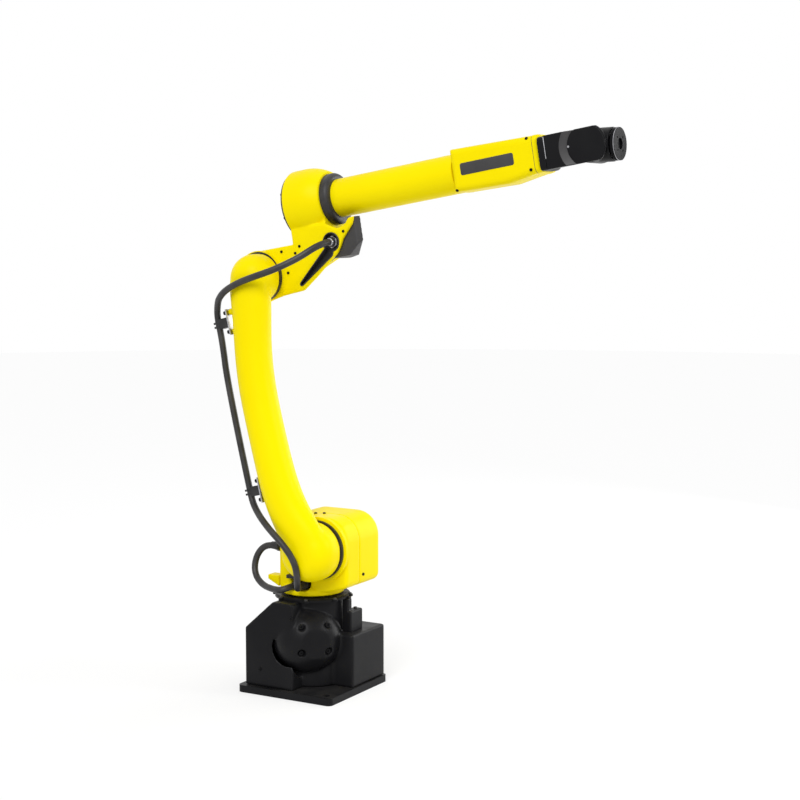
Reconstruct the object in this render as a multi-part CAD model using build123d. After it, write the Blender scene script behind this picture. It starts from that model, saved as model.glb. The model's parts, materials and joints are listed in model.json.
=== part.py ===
"""Six-axis industrial robot arm, floor standing, millimetres.

The origin is at the foot of the turning axis, on the floor. +X is the way the forearm points,
+Z is up, and the lower arm hangs on the -Y side of the swivel.
"""
import math
import os

from build123d import *

# Joint places and the pose the arm is stored in
j2_offset = 75.0
j2_height = 450.0
arm_length = 840.0
elbow_rise = 195.0
forearm_length = 1100.0
wrist_length = 75.0
arm_lean_deg = 14.0
forearm_pitch_deg = 9.5
wrist_bend_deg = 7.0

# Clearances shared by all joints
running_gap = 5.0
seat_play = 0.3
cut_overrun = 2.0

# Base
flange_width = 336.0
flange_thickness = 22.0
flange_corner = 16.0
flange_hole_spacing = 276.0
flange_hole_diameter = 18.0
base_rear = 150.0
base_front = 162.0
base_near = 152.0
base_far = 160.0
base_rear_height = 200.0
base_front_height = 184.0
base_front_start = 24.0
base_front_side = 30.0
base_shoulder_x = 50.0
base_edge_round = 5.0
neck_radius = 98.0
neck_height = 288.0
dome_radius = 106.0
dome_x = 15.0
dome_y = 56.0
dome_height = 168.0
dome_recess = 4.0
dome_recess_back = 8.0
dome_recess_drop = 16.0
dome_azimuth_deg = 49.0
dome_flat_reach = 97.0
dome_bolt_width = 84.0
dome_bolt_height = 80.0
dome_bolt_rise = 14.0
dome_pocket_radius = 12.0
dome_pocket_reach = 78.0
neck_ring_radius = 116.0
neck_ring_thickness = 10.0
neck_ring_chamfer = 4.0
neck_bore_radius = 70.0
neck_lug_radius = 9.0
neck_lug_count = 8
stop_length = 32.0
stop_width = 70.0
stop_height = 64.0
stop_gap = 4.0
stop_y = 6.0
stop_round = 4.0
stop_finger_length = 22.0
stop_finger_width = 24.0
panel_width = 150.0
panel_height = 110.0
panel_thickness = 6.0
panel_foot = 48.0
plug_radius = 19.0
plug_length = 14.0
plug_spacing = 66.0

# Swivel
turntable_radius = 97.0
turntable_thickness = 16.0
swivel_rear = 78.0
swivel_front = 167.0
swivel_top = 546.0
swivel_near = 70.0
swivel_seam = 4.0
swivel_far = 134.0
swivel_front_round = 74.0
swivel_rear_round = 60.0
swivel_foot_round = 24.0
swivel_foot_rise = 18.0
swivel_cover_round = 26.0
swivel_edge_round = 9.0
swivel_skirt_radius = 76.0
pocket_rear = 32.0
pocket_front = 38.0
pocket_height = 33.0
pocket_depth = 30.0
swivel_skirt_height = 18.0
collar_radius = 100.0
collar_length = 22.0
j2_seal_radius = 90.0
j2_seal_thickness = 8.0
j2_spigot_radius = 62.0
j2_spigot_length = 12.0
tab_length = 40.0
tab_width = 36.0
tab_thickness = 24.0
tab_tip_thickness = 14.0
tab_rise = 10.0
socket_radius = 13.0
socket_length = 16.0
socket_height = 443.0
socket_side = 60.0
outlet_radius = 12.0
outlet_length = 36.0
outlet_spacing = 26.0
outlet_x = -10.0
outlet_rise = 13.0

# Lower arm
arm_half_depth = 55.0
arm_half_width = 56.0
arm_foot_half_width = 76.0
arm_head_half_width = 70.0
arm_bow = 48.0
arm_foot_station_shares = (0.0, 0.06, 0.2, 0.37)
arm_foot_width_shares = (0.95, 0.92, 0.36, 0.04)
arm_foot_depth_shares = (0.72, 0.81, 0.95, 1.0)
arm_foot_bow_shares = (0.04, -0.04, -0.72, -0.97)
arm_head_station_shares = (0.53, 0.69, 0.84, 0.95, 1.0)
arm_head_width_shares = (0.0, 0.05, 0.4, 0.8, 0.55)
arm_head_depth_shares = (1.0, 1.0, 0.96, 0.84, 0.74)
arm_head_bow_shares = (-1.0, -0.83, -0.34, 0.0, 0.08)
j2_end_radius = 89.0
j2_end_depth = 96.0
j2_end_round = 60.0
j3_end_radius = 73.0
j3_end_depth = 98.0
j3_end_round = 68.0
j3_end_shift = 8.0
j3_end_drop = 4.0
clip_foot_distance = 213.0
clip_head_distance = 114.0
clip_foot_reach = 152.0
clip_head_reach = 137.0
arm_run_shares = (0.64, 0.9)
clip_boss_radius = 11.0
clip_boss_spacing = 58.0
clip_plate_length = 78.0
clip_plate_width = 30.0
clip_plate_thickness = 4.0
clip_block_length = 30.0
clip_block_width = 28.0
clip_block_height = 32.0

# Elbow
j3_drum_radius = 79.0
elbow_far = 58.0
seal_radius = 76.0
seal_thickness = 14.0
j3_spigot_radius = 54.0
j3_spigot_length = 16.0
barrel_start = 127.0
barrel_straight = 170.0
barrel_end = 244.0
barrel_radius = 105.0
barrel_front_radius = 84.0
barrel_rim = 3.0
rear_cover_radius = 98.0
rear_cover_thickness = 6.0
rear_cover_screws = 8
rear_cover_screw_circle = 180.0
rear_cover_screw_radius = 5.0
rear_cover_screw_height = 4.0
ring_radius = 77.0
ring_length = 27.0
ring_round = 13.0
elbow_wall_thickness = 14.0
elbow_wall_length = 349.0
elbow_edge_round = 6.0
elbow_corner_round = 18.0
chin_along_shares = (0.19, 0.275, 0.405, 0.548, 0.714, 0.794, 0.834, 0.866)
chin_rise_shares = (-0.344, -0.333, -0.318, -0.154, 0.051, 0.154, 0.251, 0.349)
brow_along_shares = (0.977, 1.0, 0.948, 0.897, 0.822, 0.748, 0.711)
brow_rise_shares = (0.549, 0.656, 0.646, 0.544, 0.523, 0.59, 0.631)
elbow_neck_drop = 67.0
elbow_neck_front = 172.0
core_radius = 54.0
core_chin = 40.0
slot_tip_radius = 5.0
slot_foot_radius = 16.0
slot_head_radius = 27.0
slot_tip_shares = (0.404, -0.215)
slot_foot_shares = (0.713, 0.185)
slot_head_shares = (0.754, 0.333)
tray_margin = 3.0
tray_depth = 8.0
motor_cover_far = 40.0
motor_cover_front = 358.0
motor_cover_foot = 18.0
motor_cover_gap = 10.0
motor_cover_step = 30.0
motor_cover_step_front = 318.0
motor_cover_chamfer_length = 46.0
motor_cover_chamfer_height = 38.0
motor_cover_edge = 14.0
motor_cover_taper = 100.0
gland_radius = 15.0
gland_length = 12.0

# Forearm
tube_radius = 57.0
tube_bore_radius = 46.0
cover_length = 280.0
cover_setback = 140.0
cover_half_width = 60.0
cover_top = 66.0
cover_rear_foot = 57.0
cover_belly = 62.0
cover_front_foot = 46.0
cover_front_top = 56.0
cover_belly_share = 0.6
cover_round = 18.0
cover_far_round = 36.0
mount_length = 21.0
mount_half_height = 47.0
mount_far = 44.0
mount_round = 14.0
mount_far_round = 44.0
fork_near = 70.0
fork_far = 50.0
fork_end_radius = 58.0
fork_recess = 12.0
fork_scoop_width = 19.0
j5_cap_radius = 55.0
j5_cap_thickness = 4.0
j5_cap_round = 2.0
j5_spigot_radius = 30.0
j5_spigot_length = 6.0

# Wrist and tool flange
wrist_near = 45.0
wrist_far = 48.0
wrist_radius = 48.0
wrist_round = 6.0
wrist_nose_radius = 47.0
wrist_nose_length = 58.0
j6_spigot_radius = 22.0
j6_spigot_length = 10.0
tool_flange_radius = 45.0
tool_bolt_circle = 50.0
tool_bolt_count = 4
tool_bolt_diameter = 6.0
tool_bolt_depth = 9.0
tool_bore_diameter = 31.5
tool_bore_depth = 6.0

# Cables, with the points that each one follows between its ends
cable_diameter = 20.0
cable_bend_share = 0.45
cable_lead = 26.0
loop_offsets = (
    (-68.0, -62.0, 112.0),
    (-86.0, -66.0, 84.0),
    (-89.0, -73.0, 50.0),
    (-73.0, -84.0, 22.0),
    (-38.0, -98.0, 4.0),
    (6.0, -114.0, 0.0),
    (48.0, -129.0, 4.0),
)
lower_span_offsets = (
    (-31.0, -152.0, -111.0),
    (-13.0, -180.0, -90.0),
    (-2.0, -198.0, -59.0),
    (-3.0, -206.0, -26.0),
    (-19.0, -212.0, 8.0),
    (-48.0, -215.0, 41.0),
    (-93.0, -206.0, 72.0),
    (-137.0, -187.0, 100.0),
    (-171.0, -166.0, 123.0),
)
upper_span_offsets = (
    (-100.0, -166.0, -80.0),
    (-79.0, -186.0, -59.0),
    (-40.0, -207.0, -35.0),
    (10.0, -213.0, -12.0),
    (66.0, -215.0, 7.0),
    (118.0, -211.0, 25.0),
    (160.0, -194.0, 46.0),
    (198.0, -168.0, 66.0),
    (230.0, -138.0, 86.0),
)

# Places that several pieces share
ring_top = neck_height + neck_ring_thickness
swivel_bottom = ring_top + running_gap
turntable_top = swivel_bottom + turntable_thickness
collar_face = swivel_near + collar_length
arm_face = collar_face + running_gap
arm_middle = arm_face + arm_half_depth
elbow_wall = collar_face - seal_thickness
flange_back = wrist_nose_length + running_gap
clip_heights = (clip_foot_distance, arm_length - clip_head_distance)
clip_reaches = (clip_foot_reach, clip_head_reach)
cover_end = forearm_length - cover_setback
cover_start = cover_end - cover_length
mount_end = cover_end + mount_length

# Frames of the moving links in the stored pose
arm_frame = Location((j2_offset, 0, j2_height), (0, -arm_lean_deg, 0))
elbow_frame = Location((arm_frame * Pos(0, 0, arm_length)).position, (0, -forearm_pitch_deg, 0))
forearm_frame = elbow_frame * Pos(0, 0, elbow_rise)
wrist_frame = forearm_frame * Location((forearm_length, 0, 0), (0, wrist_bend_deg, 0))


def block(x_low, x_high, y_low, y_high, z_low, z_high):
    """Box between two corners."""
    size = (x_high - x_low, y_high - y_low, z_high - z_low)
    return Pos(x_low, y_low, z_low) * Box(*size, align=(Align.MIN, Align.MIN, Align.MIN))


def post(radius, low, high):
    """Cylinder standing along Z."""
    return Pos(0, 0, low) * Cylinder(radius, high - low, align=(Align.CENTER, Align.CENTER, Align.MIN))


def y_disc(radius, low, high):
    """Cylinder lying along Y."""
    return Rot(-90, 0, 0) * post(radius, low, high)


def x_disc(radius, low, high):
    """Cylinder lying along X."""
    return Rot(0, 90, 0) * post(radius, low, high)


def side_face(points):
    return make_face(Polyline(*points, close=True))


def side_prism(outline, y_low, y_high):
    """Side outline in X and Z, drawn out along Y."""
    return extrude(Plane.XZ.offset(-y_high) * outline, y_high - y_low)


def upper_edges(shape):
    """All edges but those of the lowest face."""
    return shape.edges() - shape.faces().sort_by(Axis.Z)[0].edges()


# Base


def base_flange():
    half = flange_width / 2
    plate = block(-half, half, -half, half, 0, flange_thickness)
    plate = fillet(plate.edges().filter_by(Axis.Z), flange_corner)
    hole = post(flange_hole_diameter / 2, -cut_overrun, flange_thickness + cut_overrun)
    return plate - [place * hole for place in GridLocations(flange_hole_spacing, flange_hole_spacing, 2, 2)]


def base_casting():
    rear = side_prism(
        side_face(
            (
                (-base_rear, flange_thickness),
                (-base_rear, base_rear_height),
                (-base_shoulder_x, neck_height),
                (base_front_start, neck_height),
                (base_front_start, flange_thickness),
            )
        ),
        -base_near,
        base_far,
    )
    front = block(0, base_front, -base_front_side, base_far, flange_thickness, base_front_height)
    rear = fillet(upper_edges(rear), base_edge_round)
    front = fillet(upper_edges(front), base_edge_round)
    recess = Pos(-dome_recess_back, 0, -dome_recess_drop) * Sphere(dome_radius + dome_recess)
    body = rear + front - dome_place() * recess
    body += post(neck_radius, flange_thickness, neck_height)
    return split(body + base_dome(), Plane.XY.offset(neck_height), keep=Keep.BOTTOM)


def dome_place():
    return Pos(dome_x, -dome_y, dome_height)


def dome_frame():
    """Middle of the dome, with Z pointing out towards the near corner."""
    turn = math.radians(dome_azimuth_deg)
    outward = Vector(math.sin(turn), -math.cos(turn), 0)
    return Location(Plane(origin=dome_place().position, x_dir=outward.rotate(Axis.Z, 90), z_dir=outward))


def base_dome():
    """Bulge of the turning gear, with a flat face and four bolt pockets."""
    dome = dome_place() * Sphere(dome_radius)
    dome -= dome_frame() * post(dome_radius, dome_flat_reach, dome_radius + cut_overrun)
    pocket = post(dome_pocket_radius, dome_pocket_reach, dome_radius + cut_overrun)
    for place in GridLocations(dome_bolt_width, dome_bolt_height, 2, 2):
        dome -= dome_frame() * Pos(0, dome_bolt_rise, 0) * place * pocket
    return dome


def neck_ring():
    ring = post(neck_ring_radius, neck_height, ring_top)
    ring = chamfer(ring.faces().sort_by(Axis.Z)[-1].edges(), neck_ring_chamfer)
    for place in PolarLocations(neck_ring_radius, neck_lug_count, start_angle=180 / neck_lug_count):
        ring += place * post(neck_lug_radius, neck_height, ring_top - neck_ring_chamfer)
    return ring - post(neck_bore_radius, neck_height - cut_overrun, ring_top + cut_overrun)


def stop_block():
    near = neck_radius + stop_gap
    top = base_front_height + stop_height
    stop = block(near, near + stop_length, stop_y, stop_y + stop_width, base_front_height, top)
    far = near + stop_finger_length
    finger = block(near, far, stop_y, stop_y + stop_finger_width, base_front_height, neck_height - seat_play)
    return fillet(upper_edges(stop), stop_round) + fillet(upper_edges(finger), stop_round)


def connector_panel():
    back = -base_rear
    half = panel_width / 2
    panel = block(back - panel_thickness, back, -half, half, panel_foot, panel_foot + panel_height)
    return fillet(panel.edges().filter_by(Axis.X), panel_thickness)


def connectors():
    back = -base_rear - panel_thickness
    plug = x_disc(plug_radius, back - plug_length, back)
    height = panel_foot + panel_height / 2
    return Compound([Pos(0, side * plug_spacing / 2, height) * plug for side in (-1, 1)])


# Swivel


def swivel_outline():
    """Side outline of the swivel body, with its corners rounded."""
    low = turntable_top
    rise = low + swivel_foot_rise
    outline = side_face(
        (
            (-swivel_rear, low),
            (-swivel_rear, swivel_top),
            (swivel_front, swivel_top),
            (swivel_front, rise),
            (turntable_radius, low),
        )
    )
    top = outline.vertices().group_by(Axis.Y)[-1].sort_by(Axis.X)
    outline = fillet(top[-1], swivel_front_round)
    top = outline.vertices().sort_by(Axis.X)
    outline = fillet(top[:2].sort_by(Axis.Y)[-1], swivel_rear_round)
    front = outline.vertices().group_by(Axis.X)[-1].sort_by(Axis.Y)
    return fillet(front[0], swivel_foot_round)


def swivel_casting():
    body = side_prism(swivel_outline(), -swivel_near, swivel_seam)
    near_edges = body.faces().sort_by(Axis.Y)[0].edges()
    body = fillet(near_edges - near_edges.sort_by(Axis.Z)[:1], swivel_edge_round)
    body += swivel_skirt()
    pocket_back = pocket_depth - swivel_near
    pocket_top = turntable_top + pocket_height
    body -= block(-pocket_rear, pocket_front, -turntable_radius, pocket_back, turntable_top, pocket_top)
    body += post(turntable_radius, swivel_bottom, turntable_top)
    return body + post(neck_bore_radius - seat_play, neck_height, swivel_bottom)


def swivel_skirt():
    """Sloping foot in front of the near wall."""
    half = turntable_radius
    top = turntable_top + swivel_skirt_height
    align = (Align.CENTER, Align.CENTER, Align.MIN)
    cone = Cone(turntable_radius, swivel_skirt_radius, swivel_skirt_height, align=align)
    return Pos(0, 0, turntable_top) * cone & block(-half, half, -half, -swivel_near, turntable_top, top)


def swivel_cover():
    cover = side_prism(swivel_outline(), swivel_seam, swivel_far)
    return fillet(cover.faces().sort_by(Axis.Y)[-1].edges(), swivel_cover_round)


def j2_collar():
    ring = y_disc(collar_radius, j2_seal_thickness - collar_face, -swivel_near)
    ring -= y_disc(j2_spigot_radius, -collar_face - cut_overrun, 0)
    return Pos(j2_offset, 0, j2_height) * ring


def j2_seal():
    ring = y_disc(j2_seal_radius, -collar_face, j2_seal_thickness - collar_face)
    ring -= y_disc(j2_spigot_radius, -collar_face - cut_overrun, 0)
    return Pos(j2_offset, 0, j2_height) * ring


def rear_tab():
    high = turntable_top + tab_rise + tab_thickness
    tip = -swivel_rear - tab_length
    outline = side_face(
        ((-swivel_rear, turntable_top), (-swivel_rear, high), (tip, high), (tip, high - tab_tip_thickness))
    )
    return side_prism(outline, -swivel_near, -swivel_near + tab_width)


def loop_socket():
    return Pos(-swivel_rear, -socket_side, socket_height) * x_disc(socket_radius, -socket_length, 0)


def outlet_place(index):
    back = pocket_depth - swivel_near
    return Vector(outlet_x + index * outlet_spacing, back, turntable_top + outlet_rise)


def cable_outlets():
    outlet = y_disc(outlet_radius, -outlet_length, 0)
    return Compound([Pos(outlet_place(index)) * outlet for index in range(2)])


# Lower arm


def arm_section(station, bow, half_width, half_depth):
    """Rounded cross-section of the lower arm at one station along it."""
    plane = Plane(origin=(bow, -arm_middle, station), x_dir=(1, 0, 0), z_dir=(0, 0, 1))
    return plane * Ellipse(half_width, half_depth)


def arm_sections(stations, bows, widths, depths, end_half_width):
    return [
        arm_section(
            arm_length * station,
            arm_bow * bow,
            arm_half_width + (end_half_width - arm_half_width) * width,
            arm_half_depth * depth,
        )
        for station, bow, width, depth in zip(stations, bows, widths, depths)
    ]


def rounded_end(radius, depth, rounding):
    """Hub of the lower arm, with a domed outer face."""
    hub = y_disc(radius, -arm_face - depth, -arm_face)
    return fillet(hub.faces().sort_by(Axis.Y)[0].edges(), rounding)


def clip_frame(index):
    """Point on the cable at one clip, X pointing back to the arm."""
    return arm_frame * Pos(-clip_reaches[index], -arm_middle, clip_heights[index])


def plate_depth():
    """From the cable's middle to the face of the bosses."""
    return cable_diameter / 2 + seat_play + clip_block_height + clip_plate_thickness


def lower_arm_casting():
    sections = arm_sections(
        arm_foot_station_shares,
        arm_foot_bow_shares,
        arm_foot_width_shares,
        arm_foot_depth_shares,
        arm_foot_half_width,
    )
    sections += arm_sections(
        arm_head_station_shares,
        arm_head_bow_shares,
        arm_head_width_shares,
        arm_head_depth_shares,
        arm_head_half_width,
    )
    body = loft(sections)
    body += rounded_end(j2_end_radius, j2_end_depth, j2_end_round)
    head = rounded_end(j3_end_radius, j3_end_depth, j3_end_round)
    body += Pos(j3_end_shift, 0, arm_length - j3_end_drop) * head
    body += y_disc(j2_spigot_radius - seat_play, -arm_face, -arm_face + j2_spigot_length)
    head_spigot = y_disc(j3_spigot_radius - seat_play, -arm_face, -arm_face + j3_spigot_length)
    body += Pos(0, 0, arm_length) * head_spigot
    for station, reach in zip(clip_heights, clip_reaches):
        boss = x_disc(clip_boss_radius, plate_depth() - reach, -arm_bow)
        for side in (-1, 1):
            body += Pos(0, -arm_middle, station + side * clip_boss_spacing / 2) * boss
    return arm_frame * body


def clip_plate(index):
    high = plate_depth()
    wide = clip_plate_width / 2
    long = clip_plate_length / 2
    return clip_frame(index) * block(high - clip_plate_thickness, high, -wide, wide, -long, long)


def clip_block(index):
    low = cable_diameter / 2 + seat_play
    wide = clip_block_width / 2
    long = clip_block_length / 2
    return clip_frame(index) * block(low, low + clip_block_height, -wide, wide, -long, long)


# Elbow


def wall_points(along_shares, rise_shares):
    """Points of the near wall, as shares of its length and of the elbow's rise."""
    return [
        (elbow_wall_length * along, elbow_rise * rise) for along, rise in zip(along_shares, rise_shares)
    ]


def elbow_wall_plate():
    """Near wall of the elbow, which the lower arm and the cable meet."""
    chin = wall_points(chin_along_shares, chin_rise_shares)
    brow = wall_points(brow_along_shares, brow_rise_shares)
    outline = side_face(
        (
            (0, -j3_drum_radius),
            *chin,
            *brow,
            (elbow_neck_front, elbow_rise - elbow_neck_drop),
            (barrel_start, elbow_rise - elbow_neck_drop),
            (barrel_start, j3_drum_radius),
            (0, j3_drum_radius),
        )
    )
    corners = outline.vertices().filter_by_position(Axis.X, chin[0][0], brow[0][0])
    outline = fillet(corners.sort_by(Axis.Y)[: len(chin)], elbow_corner_round)
    plate = side_prism(outline, -elbow_wall, elbow_wall_thickness - elbow_wall)
    return fillet(plate.faces().sort_by(Axis.Y)[0].edges(), elbow_edge_round) - cable_slot()


def elbow_core():
    """Body of the elbow behind its near wall, up to the middle of the barrel."""
    outline = side_face(
        (
            (0, -core_radius),
            (barrel_end, core_chin),
            (barrel_end, elbow_rise),
            (barrel_start, elbow_rise),
            (barrel_start, core_radius),
            (0, core_radius),
        )
    )
    near = elbow_wall_thickness - elbow_wall
    return side_prism(outline, near, elbow_far) + y_disc(core_radius, near, elbow_far)


def elbow_barrel():
    shoulder = TangentArc(
        (barrel_straight, barrel_radius), (barrel_end, barrel_front_radius), tangent=(1, 0)
    )
    rim = Polyline(
        (barrel_end, barrel_front_radius),
        (barrel_end, 0),
        (barrel_start, 0),
        (barrel_start, barrel_radius - barrel_rim),
        (barrel_start + barrel_rim, barrel_radius),
        (barrel_straight, barrel_radius),
    )
    return Pos(0, 0, elbow_rise) * revolve(make_face([shoulder, rim]), Axis.X)


def elbow_casting():
    drum = y_disc(j3_drum_radius, -elbow_wall, elbow_wall_thickness - elbow_wall)
    body = drum + elbow_wall_plate() + elbow_core()
    body -= Pos(0, 0, elbow_rise) * x_disc(rear_cover_radius + running_gap, 0, barrel_start)
    body -= Pos(0, 0, elbow_rise) * x_disc(ring_radius + seat_play, barrel_end, motor_cover_front)
    body += elbow_barrel()
    body -= y_disc(j3_spigot_radius, -elbow_wall - cut_overrun, -collar_face + j3_spigot_length)
    return elbow_frame * (body - tray_shape())


def j3_seal():
    ring = y_disc(seal_radius, -collar_face, -elbow_wall)
    return elbow_frame * (ring - y_disc(j3_spigot_radius, -collar_face - cut_overrun, 0))


def slot_outline(margin):
    """Tapered groove with a round head for the cable, widened by a margin."""
    places = wall_points(*zip(slot_tip_shares, slot_foot_shares, slot_head_shares))
    tip = Pos(*places[0]) * Circle(slot_tip_radius + margin).edge()
    foot = Pos(*places[1]) * Circle(slot_foot_radius + margin).edge()
    return make_hull([tip, foot]) + Pos(*places[2]) * Circle(slot_head_radius + margin)


def cable_slot():
    low = -elbow_wall - cut_overrun
    return side_prism(slot_outline(0), low, elbow_wall_thickness - elbow_wall + cut_overrun)


def tray_shape():
    back = elbow_wall_thickness - elbow_wall
    return side_prism(slot_outline(tray_margin), back, back + tray_depth)


def cable_tray():
    """Dark floor of the slot, behind the near wall."""
    return elbow_frame * tray_shape()


def j4_rear_cover():
    plate = x_disc(rear_cover_radius, barrel_start - rear_cover_thickness, barrel_start)
    low = barrel_start - rear_cover_thickness - rear_cover_screw_height
    for index in range(rear_cover_screws):
        turn = Rot(360 * (index + 0.5) / rear_cover_screws, 0, 0)
        plate += turn * Pos(0, rear_cover_screw_circle / 2, 0) * x_disc(
            rear_cover_screw_radius, low, barrel_start - rear_cover_thickness
        )
    return forearm_frame * plate


def j4_ring():
    ring = x_disc(ring_radius, barrel_end, barrel_end + ring_length)
    ring = fillet(ring.faces().sort_by(Axis.X)[-1].edges(), ring_round)
    return forearm_frame * (ring - x_disc(tube_radius + seat_play, 0, forearm_length))


def elbow_motor_cover():
    """Box under the forearm, behind the near wall, stepped down under the ring."""
    top = elbow_rise - tube_radius - motor_cover_gap
    outline = side_face(
        (
            (barrel_end, motor_cover_foot),
            (motor_cover_front - motor_cover_chamfer_length, motor_cover_foot),
            (motor_cover_front, motor_cover_foot + motor_cover_chamfer_height),
            (motor_cover_front, top),
            (motor_cover_step_front, top),
            (motor_cover_step_front, top - motor_cover_step),
            (barrel_end, top - motor_cover_step),
        )
    )
    near = elbow_wall_thickness - elbow_wall
    plan = side_face(
        (
            (barrel_end, near),
            (motor_cover_front - motor_cover_edge, near),
            (motor_cover_front, near + motor_cover_edge),
            (motor_cover_front - motor_cover_taper, motor_cover_far),
            (barrel_end, motor_cover_far),
        )
    )
    cover = side_prism(outline, near, motor_cover_far) & extrude(plan, top)
    return elbow_frame * (cover - tray_shape())


def gland_frame():
    """Foot of the gland, on the floor of the slot."""
    along, rise = slot_head_shares
    back = elbow_wall_thickness - elbow_wall
    return elbow_frame * Pos(elbow_wall_length * along, back, elbow_rise * rise)


def gland_place():
    """Mouth of the gland, where the cable ends."""
    return (gland_frame() * Pos(0, -gland_length, 0)).position


def elbow_gland():
    return gland_frame() * y_disc(gland_radius, -gland_length, 0)


# Forearm


def forearm_tube():
    tube = x_disc(tube_radius, barrel_end + running_gap, cover_start)
    return forearm_frame * (tube - x_disc(tube_bore_radius, 0, forearm_length))


def forearm_cover():
    outline = side_face(
        (
            (cover_start, -cover_rear_foot),
            (cover_start + cover_length * cover_belly_share, -cover_belly),
            (cover_end, -cover_front_foot),
            (cover_end, cover_front_top),
            (cover_start, cover_top),
        )
    )
    cover = side_prism(outline, -cover_half_width, cover_half_width)
    cover = fillet(cover.faces().sort_by(Axis.Y)[0].edges(), cover_round)
    return forearm_frame * fillet(cover.faces().sort_by(Axis.Y)[-1].edges(), cover_far_round)


def wrist_mount():
    mount = block(cover_end, mount_end, -fork_near, mount_far, -mount_half_height, mount_half_height)
    edges = mount.edges().filter_by(Axis.X).sort_by(Axis.Y)
    mount = fillet(edges[:2], mount_round)
    edges = mount.edges().filter_by(Axis.X).sort_by(Axis.Y)
    return forearm_frame * fillet(edges[-2:], mount_far_round)


def fork_disc(radius, low, high):
    """Disc on the bend axis, cut flat to the height of the fork."""
    half = mount_half_height
    return y_disc(radius, low, high) & block(-radius, radius, low, high, -half, half)


def wrist_fork():
    """Single arm of the wrist, scooped out around the disc of the bend axis."""
    half = mount_half_height
    floor = fork_recess - fork_near
    scoop = Cone(fork_end_radius + fork_scoop_width, fork_end_radius, fork_recess)
    scoop = Rot(-90, 0, 0) * Pos(0, 0, floor - fork_recess / 2) * scoop
    disc = fork_disc(fork_end_radius, floor, -fork_far)
    bore = y_disc(j5_spigot_radius, -fork_far - j5_spigot_length, -fork_far + cut_overrun)
    arm = block(mount_end - forearm_length, 0, -fork_near, -fork_far, -half, half)
    return forearm_frame * Pos(forearm_length, 0, 0) * (arm - scoop + disc - bore)


def j5_cap():
    floor = fork_recess - fork_near
    cap = fork_disc(j5_cap_radius, floor - j5_cap_thickness, floor)
    cap = fillet(cap.faces().sort_by(Axis.Y)[0].edges(), j5_cap_round)
    return forearm_frame * Pos(forearm_length, 0, 0) * cap


# Wrist and tool flange


def wrist_body():
    hub = y_disc(wrist_radius, -wrist_near, wrist_far)
    hub = fillet(hub.faces().filter_by(Axis.Y).edges(), wrist_round)
    wide = wrist_nose_radius
    nose = x_disc(wide, 0, wrist_nose_length)
    body = hub + (nose & block(0, wrist_nose_length, -wrist_near, wide, -wide, wide))
    reach = fork_far - wrist_near + j5_spigot_length - running_gap
    body += y_disc(j5_spigot_radius - seat_play, -wrist_near - reach, -wrist_near)
    socket = x_disc(j6_spigot_radius, wrist_nose_length - j6_spigot_length, wrist_nose_length + cut_overrun)
    return wrist_frame * (body - socket)


def tool_flange():
    flange = x_disc(tool_flange_radius, flange_back, wrist_length)
    flange += x_disc(j6_spigot_radius - seat_play, wrist_nose_length - running_gap, flange_back)
    flange -= x_disc(tool_bore_diameter / 2, wrist_length - tool_bore_depth, wrist_length + cut_overrun)
    hole = x_disc(tool_bolt_diameter / 2, wrist_length - tool_bolt_depth, wrist_length + cut_overrun)
    for index in range(tool_bolt_count):
        turn = Rot(360 * (index + 0.5) / tool_bolt_count, 0, 0)
        flange -= turn * Pos(0, tool_bolt_circle / 2, 0) * hole
    return wrist_frame * flange


# Cables


def route(start, offsets):
    """Points of a cable, measured from one place."""
    return [Vector(start) + Vector(offset) for offset in offsets]


def cable(points):
    """Round cable along straight runs joined by the largest arcs that they leave room for."""
    radii = []
    for before, corner, after in zip(points, points[1:], points[2:]):
        turn = math.radians((corner - before).get_angle(after - corner))
        run = min((corner - before).length, (after - corner).length)
        radii.append(cable_bend_share * run / math.tan(turn / 2))
    path = FilletPolyline(*points, radius=radii)
    section = Plane(origin=points[0], z_dir=points[1] - points[0]) * Circle(cable_diameter / 2)
    print("cable radii", [round(radius) for radius in radii], "length", round(path.length))
    return sweep(section, path=path)


def loop_cable():
    start = Vector(-swivel_rear - socket_length, -socket_side, socket_height)
    end = outlet_place(0) - Vector(0, outlet_length, 0)
    first = start - Vector(cable_lead, 0, 0)
    last = end - Vector(0, cable_lead, 0)
    return cable((start, first, *route((-swivel_rear, 0, turntable_top), loop_offsets), last, end))


def lower_span_cable():
    start = outlet_place(1) - Vector(0, outlet_length, 0)
    end = clip_frame(0)
    lead = (end * Pos(0, 0, -cable_lead)).position
    first = start - Vector(0, cable_lead, 0)
    middle = route((j2_offset, 0, j2_height), lower_span_offsets)
    return cable((start, first, *middle, lead, end.position))


def arm_run_cable():
    low, high = clip_heights
    bends = [
        (arm_frame * Pos(-reach, -arm_middle, low + (high - low) * share)).position
        for reach, share in zip(clip_reaches, arm_run_shares)
    ]
    return cable((clip_frame(0).position, *bends, clip_frame(1).position))


def upper_span_cable():
    start = clip_frame(1)
    lead = (start * Pos(0, 0, cable_lead)).position
    end = gland_place()
    last = end - Vector(0, cable_lead, 0)
    middle = route(elbow_frame.position, upper_span_offsets)
    return cable((start.position, lead, *middle, last, end))


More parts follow.
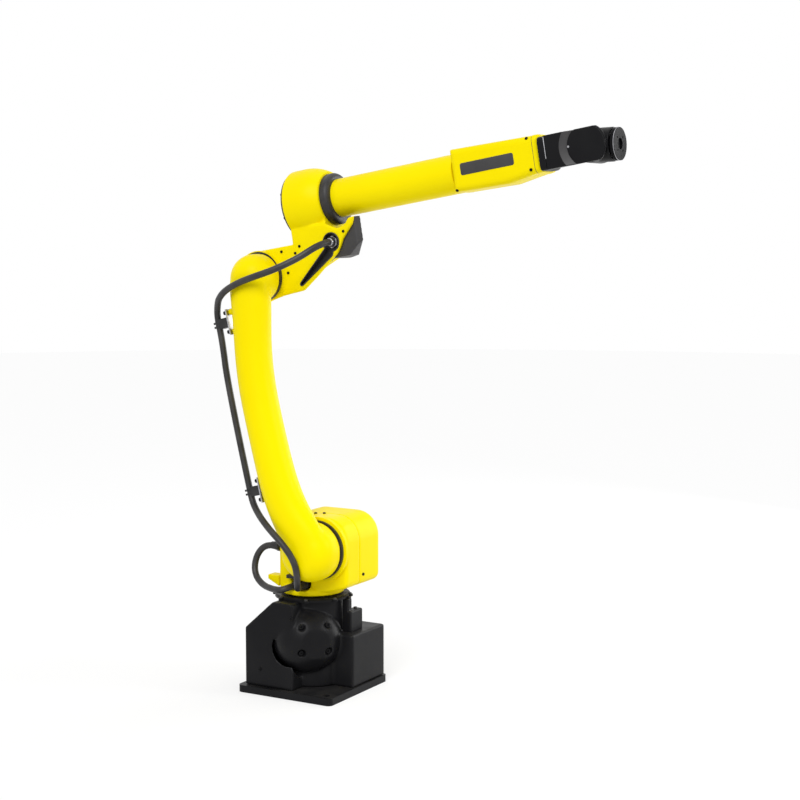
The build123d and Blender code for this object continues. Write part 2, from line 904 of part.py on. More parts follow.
nodes = {
    "base_flange": base_flange(),
    "base_casting": base_casting(),
    "neck_ring": neck_ring(),
    "stop_block": stop_block(),
    "connector_panel": connector_panel(),
    "connectors": connectors(),
    "swivel_casting": swivel_casting(),
    "swivel_cover": swivel_cover(),
    "j2_collar": j2_collar(),
    "j2_seal": j2_seal(),
    "rear_tab": rear_tab(),
    "loop_socket": loop_socket(),
    "cable_outlets": cable_outlets(),
    "loop_cable": loop_cable(),
    "lower_span_cable": lower_span_cable(),
    "lower_arm_casting": lower_arm_casting(),
    "lower_clip_plate": clip_plate(0),
    "upper_clip_plate": clip_plate(1),
    "lower_clip_block": clip_block(0),
    "upper_clip_block": clip_block(1),
    "arm_run_cable": arm_run_cable(),
    "upper_span_cable": upper_span_cable(),
    "elbow_casting": elbow_casting(),
    "j3_seal": j3_seal(),
    "j4_rear_cover": j4_rear_cover(),
    "j4_ring": j4_ring(),
    "elbow_motor_cover": elbow_motor_cover(),
    "cable_tray": cable_tray(),
    "elbow_gland": elbow_gland(),
    "forearm_tube": forearm_tube(),
    "forearm_cover": forearm_cover(),
    "wrist_mount": wrist_mount(),
    "wrist_fork": wrist_fork(),
    "j5_cap": j5_cap(),
    "wrist_body": wrist_body(),
    "tool_flange": tool_flange(),
}

os.makedirs("parts", exist_ok=True)
for name, shape in nodes.items():
    export_step(shape, f"parts/{name}.step")
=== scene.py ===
import json
import math

import bpy
from mathutils import Matrix, Vector


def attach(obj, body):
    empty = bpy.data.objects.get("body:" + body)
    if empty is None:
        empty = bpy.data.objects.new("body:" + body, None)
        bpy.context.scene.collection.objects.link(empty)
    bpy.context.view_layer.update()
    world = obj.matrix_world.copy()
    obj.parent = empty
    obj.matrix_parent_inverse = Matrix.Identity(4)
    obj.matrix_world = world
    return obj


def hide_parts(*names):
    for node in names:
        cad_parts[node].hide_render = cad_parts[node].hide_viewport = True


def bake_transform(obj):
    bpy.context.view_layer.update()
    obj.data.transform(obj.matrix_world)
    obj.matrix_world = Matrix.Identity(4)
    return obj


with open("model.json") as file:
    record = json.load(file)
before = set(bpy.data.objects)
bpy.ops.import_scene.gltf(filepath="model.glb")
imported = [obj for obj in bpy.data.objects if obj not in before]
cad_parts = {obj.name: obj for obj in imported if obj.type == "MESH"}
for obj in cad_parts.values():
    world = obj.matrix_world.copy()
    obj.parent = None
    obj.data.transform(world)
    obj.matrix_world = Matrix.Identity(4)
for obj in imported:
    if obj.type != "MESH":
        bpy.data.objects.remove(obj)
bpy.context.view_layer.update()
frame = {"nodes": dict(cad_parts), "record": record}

MM = 0.001
NODES = frame["nodes"]

# The view of the photograph
PHOTO_WIDTH = 800
PHOTO_FOCAL = 1700
SENSOR_WIDTH = 36.0
VIEW_AZIMUTH = math.radians(30.0)
VIEW_ELEVATION = math.radians(6.0)
VIEW_DISTANCE = 5.023
VIEW_TARGET = Vector((0.3104, 0.0, 0.9079))

# Joint places and the frames of the links, in millimetres
ARM_LEAN = math.radians(14.0)
FOREARM_PITCH = math.radians(9.5)
WRIST_PITCH = math.radians(2.5)
J2_PLACE = Vector((75.0, 0.0, 450.0))
ARM_LENGTH = 840.0
ELBOW_RISE = 195.0
FOREARM_LENGTH = 1100.0


def pitched(angle, place):
    """Frame of a link that is turned up about the cross axis, at a place in millimetres."""
    return Matrix.Translation(place) @ Matrix.Rotation(-angle, 4, "Y")


ARM_FRAME = pitched(ARM_LEAN, J2_PLACE)
J3_PLACE = ARM_FRAME @ Vector((0.0, 0.0, ARM_LENGTH))
ELBOW_FRAME = pitched(FOREARM_PITCH, J3_PLACE)
FOREARM_FRAME = ELBOW_FRAME @ Matrix.Translation((0.0, 0.0, ELBOW_RISE))
WRIST_FRAME = pitched(WRIST_PITCH, FOREARM_FRAME @ Vector((FOREARM_LENGTH, 0.0, 0.0)))

# Finishes: the paint, the mouldings and the metal
YELLOW = (0.94, 0.78, 0.0)
YELLOW_DEEP = (0.91, 0.73, 0.0)
# Lighter colour of the painted highlight along the yellow paint's outer edges
YELLOW_EDGE_HIGHLIGHT = (0.96, 0.82, 0.08)
BLACK_PAINT = (0.006, 0.006, 0.007)
BLACK_PAINT_WORN = (0.010, 0.010, 0.011)
# Lighter colour of the painted highlight along the black paint's outer edges
BLACK_EDGE_HIGHLIGHT = (0.060, 0.060, 0.064)
RUBBER = (0.020, 0.019, 0.020)
RUBBER_DULL = (0.040, 0.038, 0.038)
COVER_GREY = (0.036, 0.035, 0.036)
COVER_GREY_PALE = (0.052, 0.050, 0.052)
PLASTIC = (0.014, 0.014, 0.015)
PLASTIC_PALE = (0.028, 0.028, 0.030)
STEEL = (0.52, 0.52, 0.54)
STEEL_DULL = (0.36, 0.36, 0.38)
# Lighter colour of the painted highlight along the grey cover's outer edges
GREY_EDGE_HIGHLIGHT = (0.16, 0.16, 0.16)
DUST = (0.30, 0.28, 0.25)
FLANGE_OXIDE = (0.005, 0.005, 0.006)
FLANGE_OXIDE_PALE = (0.009, 0.009, 0.010)

# Patterns of the finishes: scales per metre
CLOUD_SCALE = 14.0
WAVE_SCALE = 38.0
DUST_PATCH_SCALE = 22.0
HIGHLIGHT_BREAK_SCALE = 60.0
SKIN_INPUTS = ("Grain Scale", "Tone Scale", "Wave Share")


def only(piece):
    """Leaves one piece selected and active."""
    if bpy.context.object and bpy.context.object.mode != "OBJECT":
        bpy.ops.object.mode_set(mode="OBJECT")
    bpy.ops.object.select_all(action="DESELECT")
    piece.select_set(True)
    bpy.context.view_layer.objects.active = piece


# Node groups that several finishes share


def new_group(name, inputs, outputs):
    tree = bpy.data.node_groups.new(name, "ShaderNodeTree")
    for label, value in inputs:
        socket = tree.interface.new_socket(label, in_out="INPUT", socket_type="NodeSocketFloat")
        socket.default_value = value
    for label in outputs:
        tree.interface.new_socket(label, in_out="OUTPUT", socket_type="NodeSocketFloat")
    return tree, tree.nodes.new("NodeGroupInput"), tree.nodes.new("NodeGroupOutput")


def maths(tree, operation, first, second):
    """A Math node whose two inputs are sockets or numbers."""
    node = tree.nodes.new("ShaderNodeMath")
    node.operation = operation
    for socket, value in zip(node.inputs, (first, second)):
        if isinstance(value, (int, float)):
            socket.default_value = value
        else:
            tree.links.new(value, socket)
    return node.outputs[0]


def noise(tree, place, scale, detail):
    node = tree.nodes.new("ShaderNodeTexNoise")
    node.inputs["Detail"].default_value = detail
    tree.links.new(place, node.inputs["Vector"])
    if isinstance(scale, (int, float)):
        node.inputs["Scale"].default_value = scale
    else:
        tree.links.new(scale, node.inputs["Scale"])
    return node.outputs["Fac"]


def ramp(tree, value, low, high):
    node = tree.nodes.new("ShaderNodeMapRange")
    node.interpolation_type = "SMOOTHSTEP"
    node.inputs["From Min"].default_value = low
    node.inputs["From Max"].default_value = high
    tree.links.new(value, node.inputs["Value"])
    return node.outputs["Result"]


def make_skin_group():
    """Uneven tone, fine grain and broad waviness of a coated or moulded surface."""
    tree, given, put = new_group(
        "surface_skin",
        tuple(zip(SKIN_INPUTS, (260.0, 5.0, 0.4))),
        ("Tone", "Sheen", "Height"),
    )
    place = tree.nodes.new("ShaderNodeTexCoord").outputs["Object"]
    tone = noise(tree, place, given.outputs["Tone Scale"], detail=4.0)
    tree.links.new(ramp(tree, tone, low=0.35, high=0.70), put.inputs["Tone"])
    cloudy = noise(tree, place, CLOUD_SCALE, detail=5.0)
    tree.links.new(ramp(tree, cloudy, low=0.30, high=0.75), put.inputs["Sheen"])
    grain = noise(tree, place, given.outputs["Grain Scale"], detail=2.0)
    broad = noise(tree, place, WAVE_SCALE, detail=1.0)
    wave = maths(tree, "MULTIPLY", broad, given.outputs["Wave Share"])
    tree.links.new(maths(tree, "ADD", grain, wave), put.inputs["Height"])
    return tree


def make_dust_group():
    """Dust that settles on what faces up, in patches."""
    tree, given, put = new_group("settled_dust", (("Amount", 0.3),), ("Mask",))
    normal = tree.nodes.new("ShaderNodeNewGeometry").outputs["Normal"]
    split = tree.nodes.new("ShaderNodeSeparateXYZ")
    tree.links.new(normal, split.inputs[0])
    upward = ramp(tree, split.outputs["Z"], low=0.55, high=0.98)
    place = tree.nodes.new("ShaderNodeTexCoord").outputs["Object"]
    patches = ramp(tree, noise(tree, place, DUST_PATCH_SCALE, detail=6.0), low=0.35, high=0.75)
    mask = maths(tree, "MULTIPLY", upward, patches)
    tree.links.new(maths(tree, "MULTIPLY", mask, given.outputs["Amount"]), put.inputs["Mask"])
    return tree


def make_edge_highlight_group():
    """Painted highlight along the outer edges of paint and mouldings, broken up in patches."""
    tree, given, put = new_group("painted_edge_highlight", (("Amount", 0.3),), ("Mask",))
    point = tree.nodes.new("ShaderNodeNewGeometry").outputs["Pointiness"]
    edge = ramp(tree, point, low=0.52, high=0.60)
    place = tree.nodes.new("ShaderNodeTexCoord").outputs["Object"]
    broken = ramp(tree, noise(tree, place, HIGHLIGHT_BREAK_SCALE, detail=5.0), low=0.42, high=0.62)
    mask = maths(tree, "MULTIPLY", edge, broken)
    tree.links.new(maths(tree, "MULTIPLY", mask, given.outputs["Amount"]), put.inputs["Mask"])
    return tree


SKIN_GROUP = make_skin_group()
DUST_GROUP = make_dust_group()
EDGE_HIGHLIGHT_GROUP = make_edge_highlight_group()


def use_group(tree, group, values):
    node = tree.nodes.new("ShaderNodeGroup")
    node.node_tree = group
    for label, value in values.items():
        node.inputs[label].default_value = value
    return node


def mix_colour(tree, mask, first, second):
    node = tree.nodes.new("ShaderNodeMix")
    node.data_type = "RGBA"
    tree.links.new(mask, node.inputs[0])
    for socket, value in ((node.inputs[6], first), (node.inputs[7], second)):
        if isinstance(value, tuple):
            socket.default_value = (*value, 1.0)
        else:
            tree.links.new(value, socket)
    return node.outputs[2]


def make_finish(
    name, main, other, gloss, specular, skin, bump, dust=0.0, highlight_amount=0.0, highlight_colour=None, metallic=0.0
):
    """A finish of two close tones, with grain, dust and painted highlights along its outer edges.

    Gloss is the least and most roughness, skin the values of SKIN_INPUTS,
    and bump a strength and a depth in metres.
    """
    material = bpy.data.materials.new(name)
    material.use_nodes = True
    tree = material.node_tree
    shader = tree.nodes["Principled BSDF"]
    shader.inputs["Specular IOR Level"].default_value = specular
    shader.inputs["Metallic"].default_value = metallic
    surface = use_group(tree, SKIN_GROUP, dict(zip(SKIN_INPUTS, skin)))
    colour = mix_colour(tree, surface.outputs["Tone"], main, other)
    # Painted highlight: a lighter colour where the edges are sharp
    if highlight_amount:
        lit_edges = use_group(tree, EDGE_HIGHLIGHT_GROUP, {"Amount": highlight_amount})
        colour = mix_colour(tree, lit_edges.outputs["Mask"], colour, highlight_colour)
    if dust:
        settled = use_group(tree, DUST_GROUP, {"Amount": dust})
        colour = mix_colour(tree, settled.outputs["Mask"], colour, DUST)
    tree.links.new(colour, shader.inputs["Base Color"])
    rough = tree.nodes.new("ShaderNodeMapRange")
    rough.inputs["To Min"].default_value = gloss[0]
    rough.inputs["To Max"].default_value = gloss[1]
    tree.links.new(surface.outputs["Sheen"], rough.inputs["Value"])
    tree.links.new(rough.outputs["Result"], shader.inputs["Roughness"])
    relief = tree.nodes.new("ShaderNodeBump")
    relief.inputs["Strength"].default_value = bump[0]
    relief.inputs["Distance"].default_value = bump[1]
    tree.links.new(surface.outputs["Height"], relief.inputs["Height"])
    tree.links.new(relief.outputs["Normal"], shader.inputs["Normal"])
    return material


FINISH_ROWS = {
    "yellow_paint": {
        "main": YELLOW, "other": YELLOW_DEEP, "gloss": (0.30, 0.40), "specular": 0.05,
        "skin": (420.0, 2.0, 0.8), "bump": (0.06, 0.0006), "dust": 0.02,
    },
    "black_paint": {
        "main": BLACK_PAINT, "other": BLACK_PAINT_WORN, "gloss": (0.32, 0.44), "specular": 0.10,
        "skin": (520.0, 5.0, 0.5), "bump": (0.16, 0.0006), "dust": 0.06,
    },
    "black_rubber": {
        "main": RUBBER, "other": RUBBER_DULL, "gloss": (0.36, 0.52), "specular": 0.35,
        "skin": (900.0, 18.0, 0.2), "bump": (0.12, 0.0004), "dust": 0.06,
    },
    "grey_cover": {
        "main": COVER_GREY, "other": COVER_GREY_PALE, "gloss": (0.42, 0.55), "specular": 0.35,
        "skin": (1100.0, 9.0, 0.2), "bump": (0.25, 0.0004), "dust": 0.05,
    },
    "black_plastic": {
        "main": PLASTIC, "other": PLASTIC_PALE, "gloss": (0.30, 0.45), "specular": 0.30,
        "skin": (1200.0, 20.0, 0.2), "bump": (0.15, 0.0003), "dust": 0.05,
    },
    "bare_steel": {
        "main": STEEL, "other": STEEL_DULL, "gloss": (0.30, 0.46), "specular": 0.5,
        "skin": (1500.0, 40.0, 0.1), "bump": (0.10, 0.0002), "metallic": 1.0,
    },
}
# Painted highlights along the outer edges: how strong, and their lighter colour
EDGE_HIGHLIGHT_ROWS = {
    "yellow_paint": {"highlight_amount": 0.35, "highlight_colour": YELLOW_EDGE_HIGHLIGHT},
    "black_paint": {"highlight_amount": 0.7, "highlight_colour": BLACK_EDGE_HIGHLIGHT},
    "grey_cover": {"highlight_amount": 0.5, "highlight_colour": GREY_EDGE_HIGHLIGHT},
}
FINISHES = {slot: make_finish(slot, **row) for slot, row in FINISH_ROWS.items()}
# Copies of the finishes with painted highlights along the outer edges, for the castings
EDGE_LIT_FINISHES = {
    slot: make_finish(slot + "_edge_lit", **FINISH_ROWS[slot], **highlight_row) for slot, highlight_row in EDGE_HIGHLIGHT_ROWS.items()
}
FLANGE_FINISH = make_finish(
    "tool_flange_oxide", main=FLANGE_OXIDE, other=FLANGE_OXIDE_PALE, gloss=(0.44, 0.56), specular=0.04,
    skin=(1300.0, 30.0, 0.1), bump=(0.12, 0.0002),
)
SLOT_OF = {row["node"]: row["material_slot"] for row in frame["record"]["subparts"]}


def dress(piece, slot):
    """Gives a piece one of the finishes."""
    piece.data.materials.clear()
    piece.data.materials.append(FINISHES[slot])


def dress_node(name, finish):
    for place in NODES[name].material_slots:
        place.material = finish


# Castings and mouldings: copies of the solids with their joins and edges melted, as they leave the mould

MERGE_GAP = 0.02
EASE_SHARE = 0.5


def cast(node, body, voxel, rounds):
    """A copy of a node's solid, remeshed at a voxel size in millimetres and eased in some rounds."""
    source = NODES[node]
    piece = bpy.data.objects.new(node + "_skin", source.data.copy())
    bpy.context.collection.objects.link(piece)
    piece.matrix_world = source.matrix_world
    only(piece)
    bpy.ops.object.mode_set(mode="EDIT")
    bpy.ops.mesh.select_all(action="SELECT")
    bpy.ops.mesh.remove_doubles(threshold=MERGE_GAP * MM)
    bpy.ops.object.mode_set(mode="OBJECT")
    bpy.ops.object.transform_apply()
    melt = piece.modifiers.new("melt", "REMESH")
    melt.mode = "VOXEL"
    melt.voxel_size = voxel * MM
    bpy.ops.object.modifier_apply(modifier=melt.name)
    ease = piece.modifiers.new("ease", "SMOOTH")
    ease.factor = EASE_SHARE
    ease.iterations = rounds
    bpy.ops.object.modifier_apply(modifier=ease.name)
    bpy.ops.object.shade_smooth()
    piece.data.materials.clear()
    # The castings take the finishes with painted highlights along their edges.
    piece.data.materials.append(EDGE_LIT_FINISHES[SLOT_OF[node]])
    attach(piece, body)
    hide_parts(node)
    return piece


# Node, body, voxel size and rounds of easing
CASTINGS = (
    ("base_casting", "base", 3.5, 6),
    ("stop_block", "base", 2.0, 5),
    ("swivel_casting", "swivel", 3.0, 8),
    ("swivel_cover", "swivel", 3.0, 8),
    ("rear_tab", "swivel", 2.0, 6),
    ("lower_arm_casting", "lower_arm", 3.5, 26),
    ("elbow_casting", "elbow", 2.4, 7),
    ("elbow_motor_cover", "elbow", 2.5, 5),
    ("forearm_cover", "forearm", 3.0, 6),
    ("wrist_mount", "forearm", 2.0, 6),
    ("wrist_fork", "forearm", 2.0, 5),
    ("wrist_body", "wrist", 1.8, 5),
)
skins = {node: cast(node, body, voxel, rounds) for node, body, voxel, rounds in CASTINGS}

# Cables

CABLE_RADIUS = 10.0
CABLE_SMOOTH_ANGLE = math.radians(40.0)
LOOP_ROUTE = (
    (-94, -60, 443), (-120, -60, 443), (-146, -62, 431), (-164, -66, 403), (-167, -73, 369), (-151, -84, 341),
    (-116, -98, 323), (-72, -114, 319), (-30, -129, 323), (-10, -102, 332), (-10, -76, 332),
)
LOWER_SPAN_ROUTE = (
    (16, -76, 332), (16, -102, 332), (44, -152, 339), (62, -180, 360), (73, -198, 391), (72, -206, 424),
    (56, -212, 458), (27, -215, 491), (-18, -206, 522), (-62, -187, 550), (-96, -166, 573),
    (-117.7, -152, 594.7), (-124.0, -152, 619.9),
)
ARM_RUN_ROUTE = ((-124.0, -152, 619.9), (-203.4, -152, 938.5), (-221.2, -152, 1071.5), (-233.6, -152, 1121.3))
UPPER_SPAN_ROUTE = (
    (-233.6, -152, 1121.3), (-239.9, -152, 1146.5), (-228.2, -166, 1185), (-207.2, -186, 1206),
    (-168.2, -207, 1230), (-118.2, -213, 1253), (-62.2, -215, 1271), (-10.2, -211, 1287), (31.8, -194, 1306),
    (69.8, -168, 1329), (101.0, -138, 1357), (120.6, -102, 1372.5), (120.6, -76, 1372.5),
)


def cable(name, route, node):
    """A round cable along a smooth line that its route's points guide."""
    line = bpy.data.curves.new(name, "CURVE")
    line.dimensions = "3D"
    spline = line.splines.new("NURBS")
    spline.points.add(len(route) - 1)
    for point, place in zip(spline.points, route):
        point.co = (*(Vector(place) * MM), 1.0)
    spline.order_u = 3
    spline.use_endpoint_u = True
    spline.resolution_u = 10
    line.bevel_depth = CABLE_RADIUS * MM
    line.bevel_resolution = 6
    line.use_fill_caps = True
    piece = bpy.data.objects.new(name, line)
    bpy.context.collection.objects.link(piece)
    only(piece)
    bpy.ops.object.convert(target="MESH")
    bpy.ops.object.shade_smooth_by_angle(angle=CABLE_SMOOTH_ANGLE)
    piece = bpy.context.object
    dress(piece, "black_rubber")
    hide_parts(node)
    return piece


def span(name, route, node):
    """A cable that bends across a joint, straight for a short way at both of its ends."""
    piece = cable(name, route, node)
    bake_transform(piece)


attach(cable("loop_cable_tube", LOOP_ROUTE, "loop_cable"), "swivel")
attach(cable("arm_run_cable_tube", ARM_RUN_ROUTE, "arm_run_cable"), "lower_arm")
span("lower_span_cable_tube", LOWER_SPAN_ROUTE, "lower_span_cable")
span("upper_span_cable_tube", UPPER_SPAN_ROUTE, "upper_span_cable")

# Small pieces, modelled once at the origin with their foot on the floor plane and pointing up

SMOOTH_ANGLE = math.radians(35.0)
SEAT_REACH = 40.0
NEAR = (0.0, -1.0, 0.0)
FAR = (0.0, 1.0, 0.0)
FRONT = (1.0, 0.0, 0.0)
REAR = (-1.0, 0.0, 0.0)
TOP = (0.0, 0.0, 1.0)
WORLD = Matrix.Identity(4)

# Screws: sides, eased edge and rim as shares of a head's radius, and the socket's share of its height
SCREW_SIDES = 24
HEAD_EASE = 0.14
HEAD_RIM = 0.34
SOCKET_SHARE = 0.6

# Their heads' radius and height
INDEX_SCREW = (3.0, 2.0)
MOTOR_SCREW = (3.5, 2.5)
SMALL_SCREW = (4.0, 3.0)
FOREARM_SCREW = (4.5, 2.6)
SWIVEL_SCREW = (4.5, 3.5)
WALL_BOLT = (5.0, 4.0)
RING_BOLT = (5.5, 4.5)
CLIP_SCREW = (6.0, 9.0)
BULGE_BOLT = (7.0, 7.0)

# Nuts: eased edges as shares of the radius, and the collar's narrowing
NUT_EASE = 0.08
COLLAR_SIDES = 32
COLLAR_EASE = 0.10
COLLAR_TAPER = 0.84

# Radius and height of the nut and of its collar
OUTLET_NUT = (15.0, 9.0, 13.0, 24.0)
LOOP_NUT = (16.5, 10.0, 13.5, 30.0)
GLAND_NUT = (19.0, 9.0, 14.0, 22.0)


def settle(piece, slot, body):
    """Gives a finished piece its finish and the body it moves with."""
    only(piece)
    bpy.ops.object.shade_smooth_by_angle(angle=SMOOTH_ANGLE)
    dress(piece, slot)
    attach(piece, body)


def round_blank(sides, radius, height):
    bpy.ops.object.select_all(action="DESELECT")
    bpy.ops.mesh.primitive_cylinder_add(
        vertices=sides, radius=radius * MM, depth=height * MM, location=(0.0, 0.0, height * MM / 2)
    )
    bpy.ops.object.transform_apply()
    return bpy.context.object


def box_blank(length, width, height):
    bpy.ops.object.select_all(action="DESELECT")
    bpy.ops.mesh.primitive_cube_add(size=MM, location=(0.0, 0.0, height * MM / 2))
    bpy.context.object.scale = (length, width, height)
    bpy.ops.object.transform_apply()
    return bpy.context.object


def pick_faces(piece, test):
    """Selects the faces whose middle, in millimetres, and normal pass a test, in edit mode."""
    only(piece)
    bpy.ops.object.mode_set(mode="EDIT")
    bpy.ops.mesh.select_mode(type="FACE")
    bpy.ops.mesh.select_all(action="DESELECT")
    bpy.ops.object.mode_set(mode="OBJECT")
    for face in piece.data.polygons:
        face.select = test(face.center / MM, face.normal)
    bpy.ops.object.mode_set(mode="EDIT")


def pick_top(piece):
    """Selects the highest level faces."""
    only(piece)
    high = max(corner.co.z for corner in piece.data.vertices) / MM
    pick_faces(piece, lambda middle, normal: normal.z > 0.99 and middle.z > high - 0.01)


def ease_edges(offset, segments):
    bpy.ops.mesh.bevel(offset=offset * MM, segments=segments, affect="EDGES")


def raise_faces(height):
    bpy.ops.mesh.extrude_region_move(TRANSFORM_OT_translate={"value": (0.0, 0.0, height * MM)})


def inset_faces(width):
    bpy.ops.mesh.inset(thickness=width * MM)


def open_tube(sides, radius, width):
    """The wall of a round blank, without its ends."""
    piece = round_blank(sides, radius, width)
    pick_faces(piece, lambda middle, normal: abs(normal.z) > 0.9)
    bpy.ops.mesh.delete(type="ONLY_FACE")
    bpy.ops.object.mode_set(mode="OBJECT")
    return piece


def thicken(piece, thickness, offset=-1.0):
    """Gives a shell its wall, inwards unless offset says otherwise."""
    only(piece)
    wall = piece.modifiers.new("wall", "SOLIDIFY")
    wall.thickness = thickness * MM
    wall.offset = offset
    bpy.ops.object.modifier_apply(modifier=wall.name)
    return piece


def model_screw(radius, height):
    """A socket-head screw."""
    piece = round_blank(SCREW_SIDES, radius, height)
    pick_top(piece)
    ease_edges(HEAD_EASE * radius, 2)
    pick_top(piece)
    inset_faces(HEAD_RIM * radius)
    raise_faces(-SOCKET_SHARE * height)
    bpy.ops.object.mode_set(mode="OBJECT")
    return piece


def model_nut(radius, height, collar_radius, collar_height):
    """A six-sided nut with a round collar that narrows outwards."""
    piece = round_blank(6, radius, height)
    pick_top(piece)
    ease_edges(NUT_EASE * radius, 1)
    bpy.ops.object.mode_set(mode="OBJECT")
    collar = round_blank(COLLAR_SIDES, collar_radius, collar_height)
    pick_top(collar)
    bpy.ops.transform.resize(value=(COLLAR_TAPER, COLLAR_TAPER, 1.0))
    ease_edges(COLLAR_EASE * collar_radius, 2)
    bpy.ops.object.mode_set(mode="OBJECT")
    piece.select_set(True)
    bpy.context.view_layer.objects.active = piece
    bpy.ops.object.join()
    return piece


def facing(place, outward):
    """Place in millimetres, with Z turned outwards, as a matrix in metres."""
    turn = Vector(outward).to_track_quat("Z", "Y").to_matrix().to_4x4()
    return Matrix.Translation(Vector(place) * MM) @ turn


def seat(carrier, place, outward):
    """Where a line from outside meets a carrier near a place, turned to its surface."""
    outward = Vector(outward).normalized()
    start = (Vector(place) + outward * SEAT_REACH) * MM
    hit, spot, normal, _ = carrier.ray_cast(start, -outward)
    if not hit:
        raise RuntimeError(f"nothing carries a piece at {place}")
    return facing(spot / MM, normal)


def copies(model, name, places, slot, body):
    """Copies of a model at several places, joined to one piece. The model itself goes."""
    pieces = []
    for place in places:
        piece = bpy.data.objects.new(name, model.data.copy())
        bpy.context.collection.objects.link(piece)
        piece.matrix_world = place
        pieces.append(piece)
    bpy.data.objects.remove(model)
    bpy.ops.object.select_all(action="DESELECT")
    for piece in pieces:
        piece.select_set(True)
    bpy.context.view_layer.objects.active = pieces[0]
    bpy.ops.object.transform_apply()
    if len(pieces) > 1:
        bpy.ops.object.join()
    settle(pieces[0], slot, body)
    return pieces[0]


def screws(name, size, places, slot, body):
    """Screws of one size at several places."""
    copies(model_screw(*size), name, places, slot, body)


def turned(frame_matrix, direction):
    return frame_matrix.to_3x3() @ Vector(direction)


def on_link(frame_matrix, carrier, places, direction):
    """Seats on a carrier, for places and a direction that are given in a link's own frame."""
    outward = turned(frame_matrix, direction)
    return [seat(carrier, frame_matrix @ Vector(place), outward) for place in places]


def near_lay(frame_matrix, middle):
    """Lays a piece on a link's near side, its length along the link."""
    flat = Matrix.Rotation(math.radians(90.0), 4, "X")
    return Matrix.Translation((frame_matrix @ Vector(middle)) * MM) @ frame_matrix.to_3x3().to_4x4() @ flat


# Base: bolts of the wall, the round bulge, the neck ring and the stop, and the connector panel

WALL_BOLT_PLACES = ((-95, -152, 76), (19, -152, 245))
wall_seats = on_link(WORLD, skins["base_casting"], WALL_BOLT_PLACES, NEAR)
screws("base_wall_bolts", WALL_BOLT, wall_seats, "black_paint", "base")

BULGE_MIDDLE = Vector((15.0, -56.0, 168.0))
BULGE_TURN = math.radians(49.0)
BULGE_OUT = Vector((math.sin(BULGE_TURN), -math.cos(BULGE_TURN), 0.0))
BULGE_SIDE = Vector((math.cos(BULGE_TURN), math.sin(BULGE_TURN), 0.0))
BULGE_FLOOR = 77.0
BULGE_BOLT_SIDES = (-42.0, 42.0)
BULGE_BOLT_RISES = (-26.0, 54.0)
bulge_places = [
    BULGE_MIDDLE + BULGE_OUT * BULGE_FLOOR + BULGE_SIDE * side + Vector((0.0, 0.0, rise))
    for side in BULGE_BOLT_SIDES for rise in BULGE_BOLT_RISES
]
screws("bulge_bolts", BULGE_BOLT, [facing(place, BULGE_OUT) for place in bulge_places], "black_paint", "base")

NECK_BOLT_COUNT = 8
NECK_BOLT_CIRCLE = 116.0
NECK_BOLT_SEAT = 294.0
neck_seats = []
for index in range(NECK_BOLT_COUNT):
    turn = math.radians((index + 0.5) * 360.0 / NECK_BOLT_COUNT)
    place = (NECK_BOLT_CIRCLE * math.cos(turn), NECK_BOLT_CIRCLE * math.sin(turn), NECK_BOLT_SEAT)
    neck_seats.append(facing(place, TOP))
screws("neck_ring_bolts", RING_BOLT, neck_seats, "grey_cover", "base")

STOP_BOLT_PLACES = ((118, 24, 248), (118, 58, 248))
stop_seats = on_link(WORLD, skins["stop_block"], STOP_BOLT_PLACES, TOP)
screws("stop_bolts", RING_BOLT, stop_seats, "grey_cover", "base")

PANEL_FACE = -156
PANEL_SCREW_PLACES = [(PANEL_FACE, side, height) for side in (-66, 66) for height in (57, 149)]
panel_seats = [facing(place, REAR) for place in PANEL_SCREW_PLACES]
screws("panel_screws", SMALL_SCREW, panel_seats, "bare_steel", "base")

CONNECTOR_SIDES = 36
CONNECTOR_RADIUS = 24.0
CONNECTOR_FLANGE = 4.0
CONNECTOR_STEPS = ((4.0, 5.0), (1.6, 6.0))
CONNECTOR_EASE = 0.8
CONNECTOR_RIM = 3.0
CONNECTOR_RECESS = 8.0
CONNECTOR_PLACES = ((PANEL_FACE, -33, 103), (PANEL_FACE, 33, 103))


def model_connector():
    """A round chassis connector: flange, stepped sleeve and a recessed face."""
    piece = round_blank(CONNECTOR_SIDES, CONNECTOR_RADIUS, CONNECTOR_FLANGE)
    pick_top(piece)
    for step, rise in CONNECTOR_STEPS:
        inset_faces(step)
        raise_faces(rise)
    ease_edges(CONNECTOR_EASE, 1)
    pick_top(piece)
    inset_faces(CONNECTOR_RIM)
    raise_faces(-CONNECTOR_RECESS)
    bpy.ops.object.mode_set(mode="OBJECT")
    return piece


connector_seats = [facing(place, REAR) for place in CONNECTOR_PLACES]
sockets = copies(model_connector(), "rear_connectors", connector_seats, "black_plastic", "base")
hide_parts("connectors")

# Swivel: screws of the casting and its cover, cable clamp and the outlets' nuts

SWIVEL_TOP_PLACES = ((23, -17, 546), (46, -4, 546))
top_seats = on_link(WORLD, skins["swivel_casting"], SWIVEL_TOP_PLACES, TOP)
screws("swivel_top_screws", SWIVEL_SCREW, top_seats, "black_paint", "swivel")

COVER_FRONT_PLACES = ((167, 23, 366),)
COVER_FAR_PLACES = ((-46, 134, 360), (-46, 134, 500), (130, 134, 380), (110, 134, 500))
cover_seats = on_link(WORLD, skins["swivel_cover"], COVER_FRONT_PLACES, FRONT)
cover_seats += on_link(WORLD, skins["swivel_cover"], COVER_FAR_PLACES, FAR)
screws("swivel_cover_screws", SWIVEL_SCREW, cover_seats, "black_paint", "swivel")

CLAMP_SIZE = (42.0, 11.0, 22.0)
CLAMP_RIM = 1.5
CLAMP_STEP = 2.0
CLAMP_EASE = 1.0
CLAMP_PLACE = (-17, -68, 358)
OUTLET_PLACES = ((-10, -66, 332), (16, -66, 332))
LOOP_SOCKET_PLACE = (-80, -60, 443)


